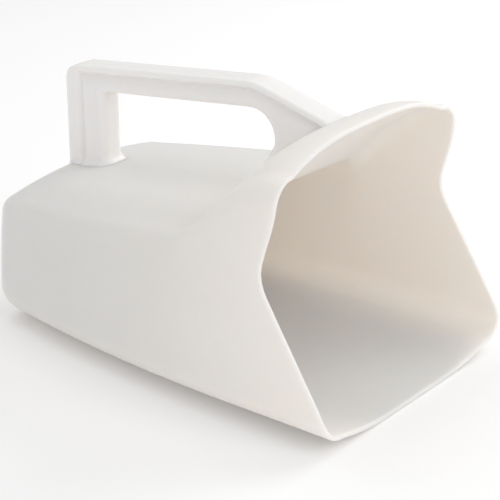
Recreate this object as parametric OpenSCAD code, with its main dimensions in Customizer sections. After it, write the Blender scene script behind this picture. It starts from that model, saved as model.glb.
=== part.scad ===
// One-hand utility scoop: a deep rectangular vessel, open at the front, and a bridge handle.
// X runs from the closed rear wall to the pouring lip, Y across, Z up. The origin is in the
// middle of the footprint, on the surface that the scoop rests on.

/* [Vessel] */
// Length from the rear wall to the pouring lip
body_l = 228; // [200:1:260]
// Width across the mouth
mouth_w = 154; // [130:1:180]
// Width across the rear wall
rear_w = 118; // [100:1:138]
// Height of the top panel at the rear wall
rear_h = 72.5; // [60:0.5:84]
// Height of the top panel at the foot of the hood
panel_h = 88.5; // [80:0.5:102]
// Camber of the top panel along its length
panel_camber = 2.3; // [0:0.1:5]
// Crown of the top panel across its width, halfway along
panel_crown = 6; // [3:0.5:9]
// Thickness of the moulded wall
wall = 2.4; // [1.8:0.1:4]
// Width of the flat strip that the scoop rests on
base_w = 44; // [30:1:60]
// Radius of the upper edges of the vessel
shoulder_r = 7; // [5:0.5:12]
// Radius of the lower edges of the vessel
keel_r = 15; // [8:0.5:17]
// Radius of the edge around the rear wall
rear_r = 12; // [8:0.5:15]
// How far the rear wall bulges
rear_bulge = 3; // [1:0.5:6]
// How far the rear wall leans forward from bottom to top
rear_lean = 3; // [0:0.5:10]

/* [Hood] */
// Distance from the rear wall to the foot of the hood
hood_foot = 141; // [130:0.5:150]
// Slope of the hood above the top panel, in degrees
hood_slope = 53; // [46:1:57]
// Distance from the rear wall to the crest of the hood
crest_x = 176.5; // [174:0.5:186]
// Slope of the brim in front of the crest, downwards, in degrees
brim_slope = -1; // [-4:0.5:12]
// Rise of the hood's arch from its sides to its middle
arch_rise = 10; // [5:0.5:14]

/* [Mouth] */
// Height at which the front edges of the side walls start back from the lip
lip_h = 16; // [10:1:20]
// Height of the waist, where the mouth is cut back the most
waist_h = 78.5; // [68:0.5:88]
// Distance from the lip back to the waist
waist_back = 40; // [30:0.5:52]
// Distance from the lip back to the brim of the hood
brim_back = 30.5; // [24:0.5:40]

/* [Handle] */
// Width of the outer flange of the handle
handle_w = 14; // [11:0.5:18]
// Thickness of the web between the flange and the inner bead
web_t = 9; // [6:0.5:10.5]
// Width of the inner bead, which the fingers close on
bead_w = 13.5; // [11:0.5:16]
// Height of the grip's top edge above the post
grip_h = 128.5; // [120:0.5:136]
// Slope of the grip, upwards to the front, in degrees
grip_slope = 6.7; // [4:0.1:9]
// Depth of the grip from its top edge to the finger opening
grip_d = 14.3; // [11:0.1:17]
// Distance from the rear wall to the front bend of the grip
bend_x = 133; // [126:1:138]
// Slope of the arm from the bend to the hood, downwards, in degrees
arm_slope = 15; // [12:0.5:20]
// Distance from the rear wall to the back of the post
post_x = 7.4; // [5:0.2:9]
// Depth of the post
post_d = 27; // [22:0.5:30]
// Thickness of the flange on the back of the post
post_flange = 7.5; // [6:0.5:10]
// Thickness of the flange along the grip
grip_flange = 3; // [2.2:0.2:4]
// Distance from the rear wall to the front end of the finger opening
finger_front = 144.8; // [136:0.2:148]
// Radius of the round front end of the finger opening
finger_r = 13; // [10:0.5:16]
// Radius of the fillet at the foot of the post
foot_r = 6; // [3:0.5:8]

/* [Hidden] */

// Steps that the curved faces are drawn with
edge_steps = 5;
run_steps = 26;
rear_steps = 3;
floor_steps = 8;
corner_steps = 5;
side_steps = 10;
roof_steps = 8;
half_steps = floor_steps + corner_steps + side_steps + corner_steps + roof_steps;
ring_steps = 2 * half_steps;

foot_blend = 5;        // half length of the curve at the foot of the hood
crest_blend = 19;      // half length of the curve over the crest
lip_blend = 8;         // half height of the curve at the lip's corners
waist_blend = 9;       // half height of the curve at the waist
brim_blend = 10;       // half height of the curve under the brim's corners
brim_side = 32;        // height from the waist to where the side edges stand upright
brim_corner = 13.5;    // radius of the brim's corners
widening = 174;        // length over which the vessel widens
rear_crown = 4.6;      // crown of the top panel at the rear wall
foot_crown = 2.2;      // crown of the top panel at the foot of the hood
keel_crown = 3.5;      // crown of the floor at the rear wall
mouth_crown = 5;       // crown of the floor at the lip
side_draw = 2.5;       // how far the side walls draw in towards the top
least_r = 2;           // least radius inside a corner of the vessel
grip_blend = 5;        // half length of the curve at the front bend of the grip
bead_r = 4;            // radius of the inner bead
corner_r = 7.5;        // radius of the corner over the post
edge_r = 1.2;          // radius of the handle's edges
sunk = 14;             // how far the handle's ends run into the vessel before they are trimmed
arm_run = 3;           // how far the arm runs past the crest before it is trimmed
lap = 2;               // how far the web runs into the flange and the bead
foot_corner = 3;       // radius of the corners of the post's foot
foot_back = 2;         // distance from the back of the post to where the fillet at its foot starts
foot_bed = 0.5;        // depth at which the fillet starts under the top panel
slice = 0.1;           // thickness of the slices that the fillet is made of
foot_levels = 4;
arc_steps = 7;
round_steps = 24;

panel_rise = (panel_h - rear_h) / hood_foot;
foot_rise = panel_rise - 4 * panel_camber / hood_foot;
hood_rise = tan(hood_slope);
brim_fall = -tan(brim_slope);

// ---- Outline of the vessel ----

// A line that bends by one unit of slope at u = 0, rounded over b each way
function bend(u, b) = u <= -b ? 0 : u >= b ? u : (u + b) * (u + b) / (4 * b);
function mix(a, b, t) = a + (b - a) * t;
function ease(t) = let (u = min(1, max(0, t))) u * u * (3 - 2 * u);

// Half width, height of the floor's middle and height of the roof's middle, at a distance from the rear
function half_w(x) =
    let (left = max(0, 1 - x / widening))
    mix(mouth_w, rear_w, left * left) / 2;
function arc(t) = t < 1 ? 4 * t * (1 - t) : 4 * (1 - t);
function roof(x) =
    rear_h + panel_rise * x + panel_camber * arc(x / hood_foot)
    + (hood_rise - foot_rise) * bend(x - hood_foot, foot_blend)
    + (brim_fall - hood_rise) * bend(x - crest_x, crest_blend);
function hood_share(x) = ease((x - hood_foot) / (crest_x - hood_foot));
function roof_crown(x) =
    let (t = min(1, x / hood_foot), straight = mix(rear_crown, foot_crown, t))
    mix(
        straight + (panel_crown - (rear_crown + foot_crown) / 2) * 4 * t * (1 - t),
        arch_rise,
        hood_share(x)
    );
function floor_crown(x) = mix(keel_crown, mouth_crown, ease(x / body_l));
function top_r(x) = mix(shoulder_r, brim_corner, ease(x / crest_x));

// Where the mouth's edge lies along X, for a height
function mouth_x(z) =
    let (back = waist_back / (waist_h - lip_h), out = (waist_back - brim_back) / brim_side)
    body_l
    - back * bend(z - lip_h, lip_blend)
    + (back + out) * bend(z - waist_h, waist_blend)
    - out * bend(z - waist_h - brim_side, brim_blend);
function rear_x(z) = rear_lean * z / rear_h;

// One point of a cross section as [y, z]. i runs from the middle of the floor (0) round one side to
// the middle of the roof (half_steps). inset moves the point inwards from the outer face.
function section(i, x, inset) =
    let (
        w = half_w(x) - inset,
        low = inset,
        top = roof(x) - inset,
        floor_c = floor_crown(x),
        roof_c = roof_crown(x),
        rk = max(least_r, keel_r - inset),
        rt = max(least_r, top_r(x) - inset),
        flat = base_w / 2,
        side_low = low + floor_c + rk,
        side_top = top - roof_c - rt,
        j = i - floor_steps,
        k = j - corner_steps,
        m = k - side_steps,
        n = m - corner_steps
    )
    i <= floor_steps ?
        let (t = i / floor_steps, y = t * (w - rk), out = max(0, y - flat) / (w - rk - flat))
        [y, low + floor_c * out * out]
    : j <= corner_steps ?
        let (a = 90 * j / corner_steps)
        [w - rk + rk * sin(a), side_low - rk * cos(a)]
    : k <= side_steps ?
        let (t = k / side_steps)
        [w - side_draw * t * t, mix(side_low, side_top, t)]
    : m <= corner_steps ?
        let (a = 90 * m / corner_steps)
        [w - side_draw - rt + rt * cos(a), side_top + rt * sin(a)]
    :
        let (t = 1 - n / roof_steps)
        [t * (w - side_draw - rt), top - roof_c * mix(t * t, t * t * t, hood_share(x))];

// The whole ring: i from 0 to ring_steps - 1, the far side mirrored
function turn(i, x, inset) =
    i <= half_steps ? section(i, x, inset)
    : let (p = section(ring_steps - i, x, inset)) [-p[0], p[1]];

function rear_face(i) = rear_x(turn(i, 0, 0)[1]);
function mouth_face(i) = mouth_x(turn(i, body_l - brim_back, 0)[1]);

// A ring of the outer or inner skin. s runs along the skin from the rear edge (0) to the mouth (1)
function skin(s, inset) = [
    for (i = [0 : ring_steps - 1])
        let (
            from = rear_face(i) + rear_r,
            x = mix(from, mouth_face(i), s),
            p = turn(i, x, inset)
        )
        [x, p[0], p[1]]
];

// A ring of the rounded edge round the rear wall, a from 90 (at the skin) down to 0 (at the wall)
function rear_edge(a, inset) =
    let (r = max(least_r, rear_r - inset), sink = r * (1 - sin(a)))
    [
        for (i = [0 : ring_steps - 1])
            let (
                x = rear_face(i) + inset + r * (1 - cos(a)),
                p = turn(i, rear_face(i) + rear_r, inset),
                mid = rear_h / 2,
                w = half_w(rear_r) - inset,
                h = mid - inset
            )
            [x, p[0] * (1 - sink / w), mid + (p[1] - mid) * (1 - sink / h)]
    ];

// A ring of the rear wall itself, k from 1 (at its edge) towards 0 (its middle)
function rear_wall(k, inset) =
    let (edge = rear_edge(0, inset), mid = rear_h / 2)
    [
        for (p = edge)
            let (z = mid + (p[2] - mid) * k)
            [mix(rear_x(mid) + inset, p[0], k) - rear_bulge * (1 - k * k), p[1] * k, z]
    ];

// A ring of the rounded rim between the outer and the inner skin
function rim(a) =
    let (r = wall / 2)
    [
        for (i = [0 : ring_steps - 1])
            let (
                x = mouth_face(i) + r * sin(a),
                p = turn(i, mouth_face(i), r - r * cos(a))
            )
            [x, p[0], p[1]]
    ];

outer_rings = [
    for (j = [1 : rear_steps]) rear_wall(j / (rear_steps + 1), 0),
    for (j = [0 : edge_steps - 1]) rear_edge(90 * j / edge_steps, 0),
    for (j = [0 : run_steps]) skin(j / run_steps, 0)
];
inner_rings = [
    for (j = [run_steps : -1 : 0]) skin(j / run_steps, wall),
    for (j = [edge_steps - 1 : -1 : 0]) rear_edge(90 * j / edge_steps, wall),
    for (j = [rear_steps : -1 : 1]) rear_wall(j / (rear_steps + 1), wall)
];
rear_pole = [rear_x(rear_h / 2) - rear_bulge, 0, rear_h / 2];

// A closed solid through a stack of rings, with a point at each end
module loft(rings, first, last) {
    n = len(rings[0]);
    count = len(rings);
    points = [first, for (r = rings) each r, last];
    tip = len(points) - 1;
    function at(j, i) = 1 + j * n + i % n;
    polyhedron(
        points,
        [
            for (i = [0 : n - 1]) [0, at(0, i), at(0, i + 1)],
            for (j = [0 : count - 2], i = [0 : n - 1])
                each [
                    [at(j, i), at(j + 1, i), at(j + 1, i + 1)],
                    [at(j, i), at(j + 1, i + 1), at(j, i + 1)]
                ],
            for (i = [0 : n - 1]) [tip, at(count - 1, i + 1), at(count - 1, i)]
        ]
    );
}

// The vessel's outer shape with its mouth closed, which the handle is trimmed to
module vessel_form() {
    loft(outer_rings, rear_pole, [body_l - waist_back, 0, waist_h]);
}

// The rear wall's rearmost point, where its bulge and its lean balance
back_k = min(1, rear_lean / (4 * rear_bulge));
back_x = rear_lean / 2 * (1 - back_k) - rear_bulge * (1 - back_k * back_k);
module placed() { translate([-(body_l + wall / 2 + back_x) / 2, 0, 0]) children(); }

module vessel() {
    color("#f3f1ee")
        placed()
            loft(
                [each outer_rings, for (a = [45, 90, 135]) rim(a), each inner_rings],
                rear_pole,
                rear_pole + [wall, 0, 0]
            );
}

// ---- Handle ----

grip_top = function(x)
    grip_h + tan(grip_slope) * (x - post_x)
    - (tan(grip_slope) + tan(arm_slope)) * bend(x - bend_x, grip_blend);
post_front = post_x + post_d;
finger_x = finger_front - finger_r;
finger_z = grip_top(finger_x) - grip_d - finger_r;

// The front end of the finger opening, at a distance r from its centre. It turns from the grip's
// underside down to the slope of the hood, and runs on at that slope into the vessel.
function finger_end(r) =
    let (
        last = hood_slope - 90,
        turned = [
            for (k = [0 : arc_steps])
                let (a = mix(90, last, k / arc_steps))
                [finger_x + r * cos(a), finger_z + r * sin(a)]
        ],
        leave = turned[arc_steps],
        down = leave[1] - rear_h
    )
    [each turned, [leave[0] - down / hood_rise, rear_h]];

// A round-edged block of the handle, its axis along Y
module puck(p, r, w) {
    edge = min(r / 2, edge_r);
    translate([p[0], 0, p[1]])
        rotate([90, 0, 0]) {
            cylinder(h = w - 2 * edge, r = r, center = true, $fn = round_steps);
            cylinder(h = w, r = r - edge, center = true, $fn = round_steps);
        }
}

// A rail through points [x, z, radius]
module rail(points, w) {
    for (i = [0 : len(points) - 2])
        hull() {
            puck(points[i], points[i][2], w);
            puck(points[i + 1], points[i + 1][2], w);
        }
}

// The outer flange, from the foot of the post round to the hood
module flange() {
    r = grip_flange / 2;
    back = post_flange / 2;
    arm_end = crest_x + arm_run;
    rail(
        [
            [post_x + back, rear_h - sunk, back],
            [post_x + back, grip_top(post_x + back) - corner_r, back],
            [post_x + post_flange, grip_top(post_x + post_flange) - r, r],
            for (x = [bend_x - grip_blend, bend_x, bend_x + grip_blend]) [x, grip_top(x) - r, r],
            [arm_end, grip_top(arm_end) - r, r]
        ],
        handle_w
    );
}

// The inner bead, down the post's front, along the grip and round the finger opening
module bead() {
    under = function(x) grip_top(x) - grip_d + bead_r;
    rail(
        [
            [post_front - bead_r, rear_h - sunk, bead_r],
            [post_front - bead_r, under(post_front), bead_r],
            for (p = finger_end(finger_r + bead_r)) [p[0], p[1], bead_r]
        ],
        bead_w
    );
}

// The web that joins flange and bead
module web() {
    y = web_t / 2;
    r = grip_flange / 2;
    translate([0, y, 0])
        rotate([90, 0, 0])
            linear_extrude(web_t)
                polygon([
                    [post_x + lap, rear_h - sunk],
                    [post_front - lap, rear_h - sunk],
                    [post_front - lap, grip_top(post_front) - grip_d + lap],
                    each finger_end(finger_r + lap),
                    [crest_x, rear_h],
                    [crest_x, grip_top(crest_x) - r],
                    [bend_x, grip_top(bend_x) - r],
                    [post_x + post_flange, grip_top(post_x + post_flange) - r],
                    [post_x + lap, grip_top(post_x) - corner_r - lap]
                ]);
}

// The flared foot of the post, a fillet in steps that runs round its sides and its front
module foot() {
    lean = atan((roof(post_front) - roof(post_x)) / post_d);
    function flare(h) = foot_r - sqrt(foot_r * foot_r - (foot_r - h) * (foot_r - h));
    module slab(h) {
        g = flare(h);
        back_w = web_t + 2 * g;
        front_w = bead_w + 2 * (g - foot_corner);
        translate([post_x, 0, roof(post_x) - foot_bed])
            rotate([0, -lean, 0])
                translate([0, 0, h])
                    linear_extrude(slice)
                        hull() {
                            translate([foot_back, -back_w / 2]) square([slice, back_w]);
                            translate([post_d + g - foot_corner, 0])
                                offset(foot_corner) square([slice, front_w], center = true);
                        }
    }
    for (k = [0 : foot_levels - 1])
        hull() {
            slab(foot_r * k / foot_levels);
            slab(foot_r * (k + 1) / foot_levels);
        }
    hull() {
        slab(0);
        translate([0, 0, -sunk]) slab(0);
    }
}

module handle() {
    color("#f6f5f3")
        placed()
            difference() {
                union() {
                    flange();
                    bead();
                    web();
                    foot();
                }
                vessel_form();
            }
}

vessel();
handle();
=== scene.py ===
import math

import bpy
import numpy as np
from mathutils import Euler, Matrix, Vector


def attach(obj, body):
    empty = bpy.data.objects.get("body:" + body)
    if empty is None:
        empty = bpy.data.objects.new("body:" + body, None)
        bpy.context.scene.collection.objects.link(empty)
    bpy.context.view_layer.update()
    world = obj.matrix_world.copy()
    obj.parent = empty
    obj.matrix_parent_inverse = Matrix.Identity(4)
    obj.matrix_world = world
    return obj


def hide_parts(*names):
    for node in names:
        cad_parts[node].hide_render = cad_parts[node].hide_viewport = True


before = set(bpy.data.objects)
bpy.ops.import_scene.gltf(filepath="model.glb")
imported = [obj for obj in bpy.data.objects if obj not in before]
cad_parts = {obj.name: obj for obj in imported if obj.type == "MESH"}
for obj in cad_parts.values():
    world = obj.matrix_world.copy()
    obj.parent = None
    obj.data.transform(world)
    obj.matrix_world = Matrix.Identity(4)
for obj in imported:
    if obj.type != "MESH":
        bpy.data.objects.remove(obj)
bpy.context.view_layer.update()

# ---------------------------------------------------------------------------
# VESSEL
# The scoop's body: one thin wall of natural polyethylene, closed at the rear,
# open at the front, with a hood that rises over the mouth. It is injection
# moulded, its wall is even and its rim is rounded over. X runs to the front.
# ---------------------------------------------------------------------------

body_length = 228
mouth_width = 154
rear_width = 118
rear_height = 72.5
panel_height = 88.5
panel_camber = 2.3
wall = 2.4
flat_width = 44
shoulder_radius = 7
brim_corner_radius = 13.5
keel_radius = 15
rear_radius = 12
rear_bulge = 3
rear_lean = 3
widening_length = 174
side_draw = 2.5
hood_foot = 141
hood_slope = 53
crest = 176.5
brim_slope = -1
lip_height = 16
waist_height = 78.5
waist_back = 40
brim_back = 30.5
brim_side = 32
foot_blend, crest_blend = 5, 19
lip_blend, waist_blend, brim_blend = 8, 9, 10
rear_crown, middle_crown, foot_crown, arch_rise = 4.6, 6, 2.2, 10
keel_crown, lip_crown = 3.5, 5
seam_height = 0.16
seam_width = 0.45
rim_round = 1.15

hood_rise = math.tan(math.radians(hood_slope))
brim_fall = -math.tan(math.radians(brim_slope))


def bend(u, half):
    """A line that turns upwards at 0 by one unit of slope, rounded over half each way."""
    return np.where(u <= -half, 0, np.where(u >= half, u, (u + half) ** 2 / (4 * half)))


def mix(a, b, t):
    return a + (b - a) * t


def ease(t):
    t = np.clip(t, 0, 1)
    return t * t * (3 - 2 * t)


def half_width(x):
    left = np.maximum(0, 1 - x / widening_length)
    return mix(mouth_width, rear_width, left * left) / 2


def roof(x):
    """Height of the vessel's top along its middle: panel, hood and brim."""
    rise = (panel_height - rear_height) / hood_foot
    t = x / hood_foot
    arc = np.where(t < 1, 4 * t * (1 - t), 4 * (1 - t))
    leave = rise - 4 * panel_camber / hood_foot
    return (
        rear_height
        + rise * x
        + panel_camber * arc
        + (hood_rise - leave) * bend(x - hood_foot, foot_blend)
        + (brim_fall - hood_rise) * bend(x - crest, crest_blend)
    )


def hood_share(x):
    return ease((x - hood_foot) / (crest - hood_foot))


def roof_crown(x):
    t = np.minimum(1, x / hood_foot)
    straight = mix(rear_crown, foot_crown, t)
    extra = middle_crown - (rear_crown + foot_crown) / 2
    panel = straight + extra * 4 * t * (1 - t)
    return mix(panel, arch_rise, hood_share(x))


def mouth_x(z):
    """Where the mouth's edge lies: back from the lip to the waist, out again to the brim."""
    back = waist_back / (waist_height - lip_height)
    out = (waist_back - brim_back) / brim_side
    return (
        body_length
        - back * bend(z - lip_height, lip_blend)
        + (back + out) * bend(z - waist_height, waist_blend)
        - out * bend(z - waist_height - brim_side, brim_blend)
    )


# where the points of half a cross section lie: floor, keel, side, shoulder and roof
floor_at = np.linspace(0, 1, 13)
keel_at = np.linspace(0, 90, 13)[1:]
side_at = np.linspace(0, 1, 25)[1:]
shoulder_at = np.linspace(0, 90, 13)[1:]
seam_at = np.array([0.016, 0.012, 0.009, 0.006, 0.003, 0])
roof_at = np.append(np.linspace(1, 0.03, 22)[1:], seam_at)
ring_half = sum(map(len, (floor_at, keel_at, side_at, shoulder_at, roof_at)))


def half_section(x, inset):
    """Half a cross section, from the floor's middle round one side to the roof's middle."""
    x = np.broadcast_to(np.asarray(x, float), (ring_half,))
    ends = np.cumsum([len(p) for p in (floor_at, keel_at, side_at, shoulder_at, roof_at)])
    xf, xk, xs, xc, xr = np.split(x, ends[:-1])

    def sizes(x):
        floor = mix(keel_crown, lip_crown, ease(x / body_length))
        wide = half_width(x) - inset
        r_low = np.maximum(2, keel_radius - inset)
        corner = mix(shoulder_radius, brim_corner_radius, ease(x / crest))
        r_top = np.maximum(2, corner - inset)
        low = inset + floor + r_low
        high = roof(x) - inset - roof_crown(x) - r_top
        return wide, floor, r_low, r_top, low, high

    wide, floor, r_low, *_ = sizes(xf)
    y = floor_at * (wide - r_low)
    out = np.maximum(0, y - flat_width / 2) / (wide - r_low - flat_width / 2)
    parts = [(y, inset + floor * out**2)]
    wide, _, r_low, _, low, _ = sizes(xk)
    a = np.radians(keel_at)
    parts.append((wide - r_low + r_low * np.sin(a), low - r_low * np.cos(a)))
    wide, _, _, _, low, high = sizes(xs)
    parts.append((wide - side_draw * side_at**2, mix(low, high, side_at)))
    wide, _, _, r_top, _, high = sizes(xc)
    a = np.radians(shoulder_at)
    parts.append((wide - side_draw - r_top + r_top * np.cos(a), high + r_top * np.sin(a)))
    wide, _, _, r_top, _, _ = sizes(xr)
    y = roof_at * (wide - side_draw - r_top)
    seam = seam_height * np.exp(-((y / seam_width) ** 2)) * (inset == 0)
    drop = roof_crown(xr) * mix(roof_at**2, roof_at**3, hood_share(xr))
    parts.append((y, roof(xr) - inset - drop + seam))
    return np.concatenate([p[0] for p in parts]), np.concatenate([p[1] for p in parts])


rear_face = rear_lean * half_section(0, 0)[1] / rear_height
mouth_face = mouth_x(half_section(body_length - brim_back, 0)[1])
middle = rear_height / 2


def whole_ring(x, y, z):
    """Both halves of a ring as points, the far side a mirror of the near side."""
    half = np.stack([np.broadcast_to(x, y.shape), y, z], -1)
    return np.concatenate([half, half[-2:0:-1] * (1, -1, 1)])


def skin_ring(s, inset):
    x = mix(rear_face + rear_radius, mouth_face, s)
    return whole_ring(x, *half_section(x, inset))


def rear_edge_ring(a, inset):
    """The rounded edge round the rear wall: a is 90 degrees at the skin, 0 at the wall."""
    r = rear_radius - inset
    sink = r * (1 - math.sin(math.radians(a)))
    y, z = half_section(rear_face + rear_radius, inset)
    wide = half_width(rear_radius) - inset
    x = rear_face + inset + r * (1 - math.cos(math.radians(a)))
    tall = middle - inset
    return whole_ring(x, y * (1 - sink / wide), middle + (z - middle) * (1 - sink / tall))


def rear_wall_ring(k, inset):
    edge = rear_edge_ring(0, inset)
    x = mix(rear_lean / 2 + inset, edge[:, 0], k) - rear_bulge * (1 - k * k)
    return np.stack([x, edge[:, 1] * k, middle + (edge[:, 2] - middle) * k], -1)


def rim_ring(forward, inset):
    x = mouth_face
    y, z = half_section(x, inset)
    return whole_ring(x + forward, y, z)


def closed_loft(name, rings, first, last):
    """A closed mesh through a stack of rings, with a point at each end."""
    n = len(rings[0])
    points = np.concatenate([[first], *rings, [last]])
    i = np.arange(n)
    following = (i + 1) % n
    faces = [(0, 1 + a, 1 + b) for a, b in zip(i, following)]
    for j in range(len(rings) - 1):
        here, there = 1 + j * n, 1 + (j + 1) * n
        faces += [
            (here + a, there + a, there + b, here + b) for a, b in zip(i, following)
        ]
    end = 1 + (len(rings) - 1) * n
    faces += [(len(points) - 1, end + b, end + a) for a, b in zip(i, following)]
    made = bpy.data.meshes.new(name)
    made.from_pydata(points.tolist(), [], [tuple(map(int, f)) for f in faces])
    made.shade_smooth()
    made.validate()
    return made


run_at = np.linspace(0, 1, 131)
edge_at = np.linspace(0, 90, 13)
wall_at = np.linspace(0, 1, 12)[1:]
rings = [rear_wall_ring(k, 0) for k in wall_at[:-1]]
rings += [rear_edge_ring(a, 0) for a in edge_at[:-1]]
rings += [skin_ring(s, 0) for s in run_at]
quarter = np.radians(np.linspace(0, 90, 6))
land = wall / 2
for a in quarter[1:]:
    forward = land - rim_round + rim_round * math.sin(a)
    rings.append(rim_ring(forward, rim_round * (1 - math.cos(a))))
for a in quarter[::-1][:-1]:
    forward = land - rim_round + rim_round * math.sin(a)
    rings.append(rim_ring(forward, wall - rim_round * (1 - math.cos(a))))
rings += [skin_ring(s, wall) for s in run_at[::-1]]
rings += [rear_edge_ring(a, wall) for a in edge_at[::-1][1:]]
rings += [rear_wall_ring(k, wall) for k in wall_at[::-1][1:]]
pole = np.array([rear_lean / 2 - rear_bulge, 0, middle])

# the rear wall's rearmost point, from which the frame's middle is measured
balance = min(1, rear_lean / (4 * rear_bulge))
rearmost = rear_lean / 2 * (1 - balance) - rear_bulge * (1 - balance**2)
shift = (body_length + wall / 2 + rearmost) / 2

metre = 0.001


def to_frame(points):
    """From millimetres measured from the rear wall to metres in the shared frame."""
    return (np.asarray(points) - (shift, 0, 0)) * metre


vessel_mesh = closed_loft(
    "scoop_vessel", [to_frame(r) for r in rings], to_frame(pole), to_frame(pole + (wall, 0, 0))
)
vessel = bpy.data.objects.new("scoop_vessel", vessel_mesh)
bpy.context.collection.objects.link(vessel)


def linear(hex_code):
    """An sRGB hex colour as linear red, green, blue and alpha."""
    parts = [int(hex_code[i : i + 2], 16) / 255 for i in (1, 3, 5)]
    return [c / 12.92 if c <= 0.04045 else ((c + 0.055) / 1.055) ** 2.4 for c in parts] + [1]


def add_node(tree, kind, inputs, **settings):
    """Adds one node: its settings, then its inputs, each a value or the node that feeds it."""
    made = tree.nodes.new(kind)
    for key, value in settings.items():
        setattr(made, key, value)
    for key, value in inputs.items():
        socket = made.inputs[key]
        if isinstance(value, bpy.types.Node):
            tree.links.new(value.outputs[0], socket)
        elif isinstance(value, bpy.types.NodeSocket):
            tree.links.new(value, socket)
        else:
            socket.default_value = value
    return made


def new_material(name):
    made = bpy.data.materials.new(name)
    made.use_nodes = True
    made.node_tree.nodes.clear()
    return made, made.node_tree


# Natural high-density polyethylene, moulded in a lightly blasted tool: a milky white
# that lets some light into the wall, with a fine matt grain and no clear reflections.
matt_white = "#EEE8E3"
matt_shade = "#EBE5DF"
blast_grain = 0.9 * metre
cloud_size = 35 * metre
polyethylene_ior = 1.54

matt_plastic, tree = new_material("natural_polyethylene_blasted")
place = add_node(tree, "ShaderNodeTexCoord", {}).outputs["Object"]
cloud = add_node(
    tree, "ShaderNodeTexNoise", {"Vector": place, "Scale": 1 / cloud_size, "Detail": 3}
)
tone = add_node(
    tree,
    "ShaderNodeMix",
    {"Factor": cloud.outputs["Fac"], "A": linear(matt_white), "B": linear(matt_shade)},
    data_type="RGBA",
)
grain = add_node(
    tree, "ShaderNodeTexNoise", {"Vector": place, "Scale": 1 / blast_grain, "Detail": 2}
)
relief = add_node(
    tree,
    "ShaderNodeBump",
    {"Height": grain.outputs["Fac"], "Strength": 0.25, "Distance": 0.05 * metre},
)
sheen_patches = add_node(
    tree,
    "ShaderNodeMapRange",
    {"Value": cloud.outputs["Fac"], "To Min": 0.42, "To Max": 0.5},
)
surface = add_node(
    tree,
    "ShaderNodeBsdfPrincipled",
    {
        "Base Color": tone.outputs["Result"],
        "Roughness": sheen_patches.outputs["Result"],
        "Normal": relief,
        "IOR": polyethylene_ior,
        "Subsurface Weight": 1.0,
        "Subsurface Radius": (9.0, 7.4, 6.2),
        "Subsurface Scale": metre,
    },
)
add_node(tree, "ShaderNodeOutputMaterial", {"Surface": surface})
vessel_mesh.materials.append(matt_plastic)

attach(vessel, "root")
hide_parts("vessel")

# ---------------------------------------------------------------------------
# HANDLE
# A one-hand bridge handle of the same polyethylene: a rail with an outer flange,
# a thinner web and an inner bead for the fingers. It is joined to the top panel
# and the hood, with a fillet at its foot. Its tool is polished, so it shines.
# ---------------------------------------------------------------------------

flange_width = 14
web_thickness = 9
bead_width = 13.5
grip_height = 128.5
grip_slope = 6.7
grip_depth = 14.3
grip_bend = 133
grip_blend = 6
arm_slope = 15
post_back = 7.4
post_depth = 27
post_flange = 7.5
grip_flange = 3
corner_radius = 7.5
inner_corner = 1.5
finger_front = 144.8
finger_radius = 13
foot_fillet = 6
foot_fillet_flange, hood_fillet = 2.5, 3
fillet_change = 14
foot_zone = 60
sunk = 1.2
foot_bed = 0.4
bead_edge = 3.5

grip_rise = math.tan(math.radians(grip_slope))
arm_fall = math.tan(math.radians(arm_slope))


def grip_top(x):
    level = grip_height + grip_rise * (x - post_back)
    return level - (grip_rise + arm_fall) * bend(x - grip_bend, grip_blend)


def vessel_top(x):
    """Height of the vessel's outer face along its middle, the rear edge included."""
    face = rear_lean
    c = np.clip((x - face) / rear_radius, 0, 1)
    sink = rear_radius * (1 - np.sqrt(np.maximum(0, 1 - (1 - c) ** 2)))
    edge = roof(np.maximum(x, face + rear_radius))
    return np.where(c < 1, middle + (edge - middle) * (1 - sink / middle), roof(x))


def turned(centre, radius, start, stop, count):
    """Points on an arc in the handle's middle plane, angles in degrees."""
    a = np.radians(np.linspace(start, stop, count))
    return np.stack([centre[0] + radius * np.cos(a), centre[1] + radius * np.sin(a)], -1)


def spaced(path, shares):
    """The same path with points at the given shares of its length."""
    steps = np.hypot(*np.diff(path, axis=0).T)
    along = np.concatenate([[0], np.cumsum(steps)])
    at = along[-1] * shares
    return np.stack([np.interp(at, along, path[:, 0]), np.interp(at, along, path[:, 1])], -1)


post_front = post_back + post_depth
post_stations, corner_stations, grip_stations, arm_stations = 70, 18, 64, 84
back_corner = (post_back + corner_radius, float(grip_top(post_back)) - corner_radius)
inside = (post_front + inner_corner, float(grip_top(post_front)) - grip_depth - inner_corner)

# where the arm's top runs into the hood
before_crest, past_crest, tries = 20, 10, 400
meet = np.linspace(crest - before_crest, crest + past_crest, tries)
meet = float(meet[np.argmin(abs(grip_top(meet) - roof(meet) + sunk))])

# the outer path: up the post's back, round the corner, along the grip and down the arm
fillet_rows = 16
round_rows = foot_fillet * (1 - np.cos(np.linspace(0, math.pi / 2, fillet_rows)))
foot_low = float(vessel_top(post_back)) - sunk


def post_heights(low, high):
    """Heights up the post, close together where the fillet turns."""
    rest = np.linspace(low + sunk + foot_fillet, high, post_stations - fillet_rows)[1:]
    return np.concatenate([[low], low + sunk + round_rows, rest])


post_line = np.full(post_stations, float(post_back))
outer = [np.stack([post_line, post_heights(foot_low, back_corner[1])], -1)]
outer.append(turned(back_corner, corner_radius, 180, 90 + grip_slope, corner_stations))
x = np.linspace(back_corner[0], grip_bend - grip_blend, grip_stations)
outer.append(np.stack([x, grip_top(x)], -1))
to_hood = np.sin(np.linspace(0, math.pi / 2, arm_stations))
x = mix(grip_bend - grip_blend, meet, to_hood)
outer.append(np.stack([x, grip_top(x)], -1))

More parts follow.
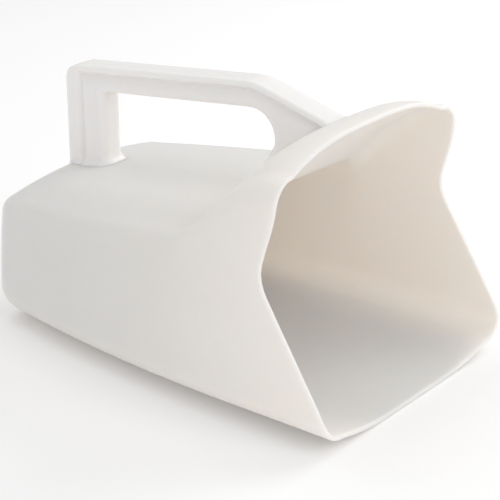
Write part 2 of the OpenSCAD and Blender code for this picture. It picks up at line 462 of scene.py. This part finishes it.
# the inner path: up the post's front, along the grip and round the finger opening
inner_low = float(vessel_top(post_front)) - sunk
post_line = np.full(post_stations, float(post_front))
inner = [np.stack([post_line, post_heights(inner_low, inside[1])], -1)]
inner.append(turned(inside, inner_corner, 180, 90 + grip_slope, corner_stations))
finger_x = finger_front - finger_radius
finger_z = float(grip_top(finger_x)) - grip_depth - finger_radius
x = np.linspace(inside[0], finger_x, grip_stations)
inner.append(np.stack([x, grip_top(x) - grip_depth], -1))
arc = turned((finger_x, finger_z), finger_radius, 90, hood_slope - 90, 60)
slope = np.array([-math.cos(math.radians(hood_slope)), -math.sin(math.radians(hood_slope))])
down_hood = np.linspace(0, 40, 400)
runs = arc[-1] + slope * down_hood[:, None]
runs = runs[runs[:, 1] > roof(runs[:, 0]) - sunk]
inner.append(spaced(np.concatenate([arc, runs]), to_hood))

outer = np.concatenate([p if i == 0 else p[1:] for i, p in enumerate(outer)])
inner = np.concatenate([p if i == 0 else p[1:] for i, p in enumerate(inner)])
stations = len(outer)

# the blank: a flat strip between the two paths, its ends laid on the vessel's face
across = [np.linspace(0, 1, 71), np.linspace(0, 0.1, 12), np.linspace(0.8, 1, 25)]
across = np.unique(np.concatenate(across))
chord = outer[:, None] + (inner - outer)[:, None] * across[:, None]
end_x = mix(outer[-1, 0], inner[-1, 0], across)
end_line = np.stack([end_x, roof(end_x) - sunk], -1)
near_end = np.clip((np.arange(stations) - (stations - arm_stations)) / (arm_stations - 1), 0, 1)
chord += (near_end**2)[:, None, None] * (end_line - chord[-1])
foot_x = mix(outer[0, 0], inner[0, 0], across)
foot_line = np.stack([foot_x, vessel_top(foot_x) - sunk], -1)
foot_reach = 16
above = outer[:, 1] - outer[0, 1] - sunk - foot_fillet
near_foot = 1 - ease(above / foot_reach)
chord += near_foot[:, None, None] * (foot_line - chord[0])


def distance(points, path):
    """Distance in the handle's plane from each point to a path of straight pieces."""
    a, b = path[:-1], path[1:]
    span = b - a
    best = np.full(len(points), 1e9)
    for start, way in zip(a, span):
        t = np.clip((points - start) @ way / max(way @ way, 1e-12), 0, 1)
        best = np.minimum(best, np.hypot(*(points - start - t[:, None] * way).T))
    return best


flat = chord.reshape(-1, 2)
x, z = flat.T
from_outer = distance(flat, outer)
from_inner = distance(flat, inner)
top_line = outer[post_stations + corner_stations - 2 :]
past_rear = post_back - 10
rear_end = np.array([[past_rear, float(grip_top(past_rear))]])
from_top = distance(flat, np.concatenate([rear_end, top_line]))

past_back = x - post_back - post_flange
below_top = from_top - grip_flange


# height over the vessel's face, measured square to it
along_vessel = np.linspace(0, 200, 801)
steep = np.gradient(roof(along_vessel), along_vessel)
lean = np.cos(np.arctan(np.interp(x, along_vessel, steep)))
clear = np.maximum(0, (z - vessel_top(x) + foot_bed) * lean)
on_foot = x < foot_zone
foot_spread = mix(foot_fillet_flange, foot_fillet, ease((x - post_back) / fillet_change))
fillet = np.where(on_foot, foot_spread, hood_fillet)
nose = np.clip(1 - from_inner / bead_edge, 0, 1)
ahead = np.where(on_foot, nose, -nose)
beside = np.sqrt(1 - nose**2)

# the strip is wrapped round the section: outer face, near side, inner face, far side
faces_across = np.linspace(0, 1, 6)[:-1]
columns = [(0, s) for s in faces_across]
columns += [(k, 1) for k in range(len(across))]
columns += [(len(across) - 1, s) for s in faces_across[::-1]]
near = np.array(columns)
far = near[1:-1][::-1] * (1, -1)
wrap = np.concatenate([near, far])
pick = np.arange(stations)[:, None] * len(across) + wrap[:, 0].astype(int)
side = -np.broadcast_to(wrap[:, 1], pick.shape)
blank_points = np.zeros(pick.shape + (3,))
blank_points[..., 0] = x[pick]
blank_points[..., 2] = z[pick]

n = len(wrap)
i = np.arange(n)
rows = np.arange(stations - 1)[:, None] * n
following = (i + 1) % n
quads = np.stack([rows + i, rows + following, rows + n + following, rows + n + i], -1)
quads = quads.reshape(-1, 4)
m = len(near)
last = (stations - 1) * n
caps = []
for k in range(m - 1):
    a, b = k, k + 1
    c, d = (n - b) % n, (n - a) % n
    corners = [a, b, c, d]
    ring = list(dict.fromkeys(corners))
    if len(ring) > 2:
        caps.append(ring[::-1])
        caps.append([last + v for v in ring])
handle_mesh = bpy.data.meshes.new("scoop_handle")
handle_faces = [tuple(map(int, face)) for face in [*quads, *caps]]
handle_mesh.from_pydata(to_frame(blank_points.reshape(-1, 3)).tolist(), [], handle_faces)
lengths = {
    "from_outer": from_outer,
    "from_inner": from_inner,
    "past_back": past_back,
    "below_top": below_top,
    "clear": clear,
    "fillet": fillet,
}
shares = {"side": side, "ahead": ahead[pick], "beside": beside[pick]}
carried = [*lengths, *shares]
for name, values in lengths.items():
    handle_mesh.attributes.new(name, "FLOAT", "POINT").data.foreach_set(
        "value", (values[pick] * metre).astype("f").ravel()
    )
for name, values in shares.items():
    handle_mesh.attributes.new(name, "FLOAT", "POINT").data.foreach_set(
        "value", values.astype("f").ravel()
    )
handle = bpy.data.objects.new("scoop_handle", handle_mesh)
bpy.context.collection.objects.link(handle)

# the same polyethylene from a polished part of the tool: smooth, with soft bright streaks
gloss_white = "#FBF9F7"
gloss_shade = "#FAF7F4"
ripple_size = 6 * metre
gloss_plastic, tree = new_material("natural_polyethylene_polished")
place = add_node(tree, "ShaderNodeTexCoord", {}).outputs["Object"]
cloud = add_node(
    tree, "ShaderNodeTexNoise", {"Vector": place, "Scale": 1 / cloud_size, "Detail": 3}
)
tone = add_node(
    tree,
    "ShaderNodeMix",
    {"Factor": cloud.outputs["Fac"], "A": linear(gloss_white), "B": linear(gloss_shade)},
    data_type="RGBA",
)
ripple = add_node(
    tree, "ShaderNodeTexNoise", {"Vector": place, "Scale": 1 / ripple_size, "Detail": 2}
)
relief = add_node(
    tree,
    "ShaderNodeBump",
    {"Height": ripple.outputs["Fac"], "Strength": 0.12, "Distance": 0.1 * metre},
)
sheen_patches = add_node(
    tree,
    "ShaderNodeMapRange",
    {"Value": cloud.outputs["Fac"], "To Min": 0.2, "To Max": 0.28},
)
surface = add_node(
    tree,
    "ShaderNodeBsdfPrincipled",
    {
        "Base Color": tone.outputs["Result"],
        "Roughness": sheen_patches.outputs["Result"],
        "Normal": relief,
        "IOR": polyethylene_ior,
        "Subsurface Weight": 0.5,
        "Subsurface Radius": (4.0, 3.4, 3.0),
        "Subsurface Scale": metre,
    },
)
add_node(tree, "ShaderNodeOutputMaterial", {"Surface": surface})

# the tree that moulds the blank: it gives each point its distance from the middle plane
mould = bpy.data.node_groups.new("moulded_rail", "GeometryNodeTree")
mould.interface.new_socket("Geometry", in_out="INPUT", socket_type="NodeSocketGeometry")
rail_sizes = {
    "Flange width": flange_width,
    "Web thickness": web_thickness,
    "Bead width": bead_width,
    "Post root": 4.5,
    "Post flank": 7.5,
    "Grip root": 2,
    "Grip flank": 9,
    "Valley radius": 0.5,
    "Flange edge radius": 1.6,
    "Bead edge radius": bead_edge,
}
for name in rail_sizes:
    mould.interface.new_socket(name, in_out="INPUT", socket_type="NodeSocketFloat")
mould.interface.new_socket("Plastic", in_out="INPUT", socket_type="NodeSocketMaterial")
mould.interface.new_socket("Geometry", in_out="OUTPUT", socket_type="NodeSocketGeometry")
size = add_node(mould, "NodeGroupInput", {}).outputs


def named(name):
    """The value that the blank carries at each point under this name."""
    return add_node(mould, "GeometryNodeInputNamedAttribute", {"Name": name}, data_type="FLOAT")


def step_down(gap, run):
    """1 inside the zone that gap is measured from, 0 beyond the run."""
    return add_node(
        mould,
        "ShaderNodeMapRange",
        {"Value": gap, "From Max": run, "To Min": 1.0, "To Max": 0.0},
        interpolation_type="SMOOTHSTEP",
    )


def rounding(depth, radius):
    """How much a round edge of this radius takes off the width, at a depth below the edge."""
    left = add_node(mould, "ShaderNodeMath", {0: radius, 1: depth}, operation="SUBTRACT")
    left = add_node(mould, "ShaderNodeMath", {0: left, 1: 0.0}, operation="MAXIMUM")
    left = add_node(mould, "ShaderNodeMath", {0: left, 1: left}, operation="MULTIPLY")
    whole = add_node(mould, "ShaderNodeMath", {0: radius, 1: radius}, operation="MULTIPLY")
    rest = add_node(mould, "ShaderNodeMath", {0: whole, 1: left}, operation="SUBTRACT")
    rest = add_node(mould, "ShaderNodeMath", {0: rest, 1: 0.5}, operation="POWER")
    return add_node(mould, "ShaderNodeMath", {0: radius, 1: rest}, operation="SUBTRACT")


flange_more = add_node(
    mould, "ShaderNodeMath", {0: size["Flange width"], 1: size["Web thickness"]}, operation="SUBTRACT"
)
bead_more = add_node(
    mould, "ShaderNodeMath", {0: size["Bead width"], 1: size["Web thickness"]}, operation="SUBTRACT"
)
flange_there, bead_there = [], []
recesses = (("past_back", "Post root", "Post flank"), ("below_top", "Grip root", "Grip flank"))
for gap, root, flank in recesses:
    gap = named(gap)
    flange_there.append(step_down(gap, size[root]))
    hollow = step_down(gap, size[flank])
    bead_there.append(add_node(mould, "ShaderNodeMath", {0: 1.0, 1: hollow}, operation="SUBTRACT"))
in_flange = add_node(mould, "ShaderNodeMath", dict(enumerate(flange_there)), operation="MAXIMUM")
in_bead = add_node(mould, "ShaderNodeMath", dict(enumerate(bead_there)), operation="MINIMUM")
flange_part = add_node(mould, "ShaderNodeMath", {0: flange_more, 1: in_flange}, operation="MULTIPLY")
bead_part = add_node(mould, "ShaderNodeMath", {0: bead_more, 1: in_bead}, operation="MULTIPLY")
more = add_node(
    mould,
    "ShaderNodeMath",
    {0: flange_part, 1: bead_part, 2: size["Valley radius"]},
    operation="SMOOTH_MAX",
)
width = add_node(mould, "ShaderNodeMath", {0: size["Web thickness"], 1: more}, operation="ADD")
half = add_node(mould, "ShaderNodeMath", {0: width, 1: 0.5}, operation="MULTIPLY")
for depth, radius in (("from_outer", "Flange edge radius"), ("from_inner", "Bead edge radius")):
    taken = rounding(named(depth), size[radius])
    half = add_node(mould, "ShaderNodeMath", {0: half, 1: taken}, operation="SUBTRACT")
flare = rounding(named("clear"), named("fillet"))
wider = add_node(mould, "ShaderNodeMath", {0: flare, 1: named("beside")}, operation="MULTIPLY")
half = add_node(mould, "ShaderNodeMath", {0: half, 1: wider}, operation="ADD")
out_y = add_node(mould, "ShaderNodeMath", {0: half, 1: named("side")}, operation="MULTIPLY")
out_x = add_node(mould, "ShaderNodeMath", {0: flare, 1: named("ahead")}, operation="MULTIPLY")
offset = add_node(mould, "ShaderNodeCombineXYZ", {"X": out_x, "Y": out_y})
moulded = add_node(
    mould, "GeometryNodeSetPosition", {"Geometry": size["Geometry"], "Offset": offset}
)
smooth = add_node(mould, "GeometryNodeSetShadeSmooth", {"Geometry": moulded})
whole = add_node(mould, "GeometryNodeRealizeInstances", {"Geometry": smooth})
coated = add_node(mould, "GeometryNodeSetMaterial", {"Geometry": whole, "Material": size["Plastic"]})
add_node(mould, "NodeGroupOutput", {"Geometry": coated})

moulding = handle.modifiers.new("moulding", "NODES")
moulding.node_group = mould
sockets = {s.name: s.identifier for s in mould.interface.items_tree if s.in_out == "INPUT"}
for name, value in rail_sizes.items():
    moulding[sockets[name]] = value * metre
moulding[sockets["Plastic"]] = gloss_plastic
evaluated = handle.evaluated_get(bpy.context.evaluated_depsgraph_get())
finished = bpy.data.meshes.new_from_object(evaluated)
handle.modifiers.clear()
handle.data = finished
finished.name = "scoop_handle"
for name in carried:
    finished.attributes.remove(finished.attributes[name])

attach(handle, "root")
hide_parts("handle")

# ---------------------------------------------------------------------------
# STUDIO
# A plain pale floor under soft white light from all round, seen through a long lens.
# Soft boxes stand at the mouth, at the far side and behind, so that light also comes
# through the thin wall, and a small low one gives the polished handle its shine.
# ---------------------------------------------------------------------------

floor_reach = 6
floor_glow = 0.08
sky_strength = 0.62
box_distance, box_width = 1.2, 0.7
scoop_middle = 0.06
floor_mesh = bpy.data.meshes.new("studio_floor")
corners = [(-floor_reach, -floor_reach, 0), (floor_reach, -floor_reach, 0)]
corners += [(floor_reach, floor_reach, 0), (-floor_reach, floor_reach, 0)]
floor_mesh.from_pydata(corners, [], [(0, 1, 2, 3)])
floor = bpy.data.objects.new("studio_floor", floor_mesh)
bpy.context.collection.objects.link(floor)
floor_paint, tree = new_material("studio_floor_white")
surface = add_node(
    tree,
    "ShaderNodeBsdfPrincipled",
    {
        "Base Color": linear("#FAFAFA"),
        "Roughness": 0.9,
        "Specular IOR Level": 0.1,
        "Emission Color": (1, 1, 1, 1),
        "Emission Strength": floor_glow,
    },
)
add_node(tree, "ShaderNodeOutputMaterial", {"Surface": surface})
floor_mesh.materials.append(floor_paint)

world = bpy.data.worlds.new("studio")
bpy.context.scene.world = world
world.use_nodes = True
backdrop = world.node_tree.nodes["Background"]
backdrop.inputs["Color"].default_value = (1, 1, 1, 1)
backdrop.inputs["Strength"].default_value = sky_strength


def soft_box(name, azimuth, elevation, distance, width, power):
    """A square area light aimed at the middle of the scoop. Azimuth and elevation as for a view."""
    light = bpy.data.lights.new(name, "AREA")
    light.size = width
    light.energy = power
    a, e = math.radians(azimuth), math.radians(elevation)
    way = Vector((math.sin(a) * math.cos(e), -math.cos(a) * math.cos(e), math.sin(e)))
    lamp = bpy.data.objects.new(name, light)
    lamp.location = way * distance + Vector((0, 0, scoop_middle))
    lamp.rotation_euler = (-way).to_track_quat("-Z", "Y").to_euler()
    bpy.context.collection.objects.link(lamp)
    return lamp


soft_box("key_box", 85, 40, box_distance, box_width, 3)
soft_box("back_box", 165, 35, box_distance, box_width, 4)
soft_box("rear_box", -100, 60, box_distance, box_width, 1.6)
soft_box("streak_box", -10, 15, 1.5, 0.25, 0.8)

view_azimuth, view_elevation, view_roll = 38.479, 22.978, -0.165
view_distance = 876.74 * metre
aim_from_rear, aim_height = 125.73, 50.89
aim = Vector((aim_from_rear - shift, 0, aim_height)) * metre
lens_mm = 124.92
camera_data = bpy.data.cameras.new("camera")
camera_data.sensor_width = 36
camera_data.lens = lens_mm
camera_data.clip_start, camera_data.clip_end = 0.01, 50
camera = bpy.data.objects.new("camera", camera_data)
turn = Euler((math.radians(90 - view_elevation), 0, math.radians(view_azimuth))).to_matrix()
turn = turn @ Matrix.Rotation(math.radians(view_roll), 3, "Z")
camera.location = aim + turn @ Vector((0, 0, view_distance))
camera.rotation_euler = turn.to_euler()
bpy.context.collection.objects.link(camera)
bpy.context.scene.camera = camera
bpy.context.scene.view_settings.view_transform = "Standard"
